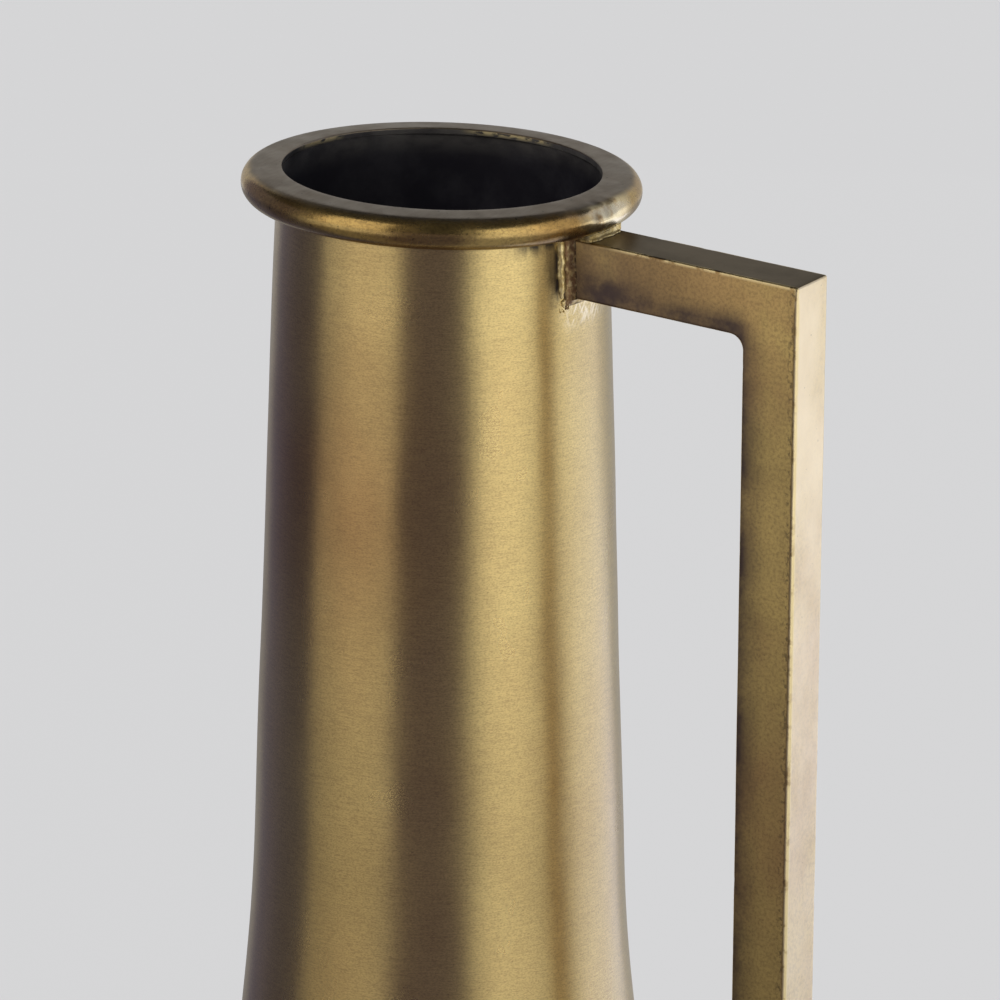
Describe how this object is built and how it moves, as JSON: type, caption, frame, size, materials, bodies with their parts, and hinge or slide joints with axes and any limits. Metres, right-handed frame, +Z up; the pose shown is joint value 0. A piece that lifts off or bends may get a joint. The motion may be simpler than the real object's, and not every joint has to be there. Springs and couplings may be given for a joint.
{
  "type": "jug vase",
  "caption": "Tall jug vase in aged brass: straight-tapered neck flaring to a wide foot, half-round rim ring and a square-bar handle welded on at both ends.",
  "frame": {"origin": "centre of the base, on the surface the vase stands on", "axes": "+Z up along the vase's axis; +X towards the handle; +Y to the left of someone facing along +X"},
  "size_m": [0.1545, 0.1416, 0.3109],
  "materials": {
    "body_brass": "aged brass with fine brushed lines round the body",
    "rim_brass": "darker aged brass, ground flat on top",
    "handle_brass": "aged brass bar, browner, with worn edges",
    "weld_metal": "pale lumpy weld metal",
    "braze_metal": "smooth braze"
  },
  "bodies": {
    "root": {"body_shell": "body_brass", "base_disc": "body_brass", "base_braze": "braze_metal", "rim_ring": "rim_brass", "rim_braze": "braze_metal", "handle_upper_arm": "handle_brass", "handle_grip": "handle_brass", "handle_lower_arm": "handle_brass", "upper_corner_weld": "handle_brass", "lower_corner_weld": "handle_brass", "upper_weld_front": "weld_metal", "upper_weld_back": "weld_metal", "upper_weld_under": "weld_metal", "rim_weld": "weld_metal", "lower_weld_front": "weld_metal", "lower_weld_back": "weld_metal", "lower_weld_under": "weld_metal", "lower_weld_top": "weld_metal"}
  },
  "joints": []
}
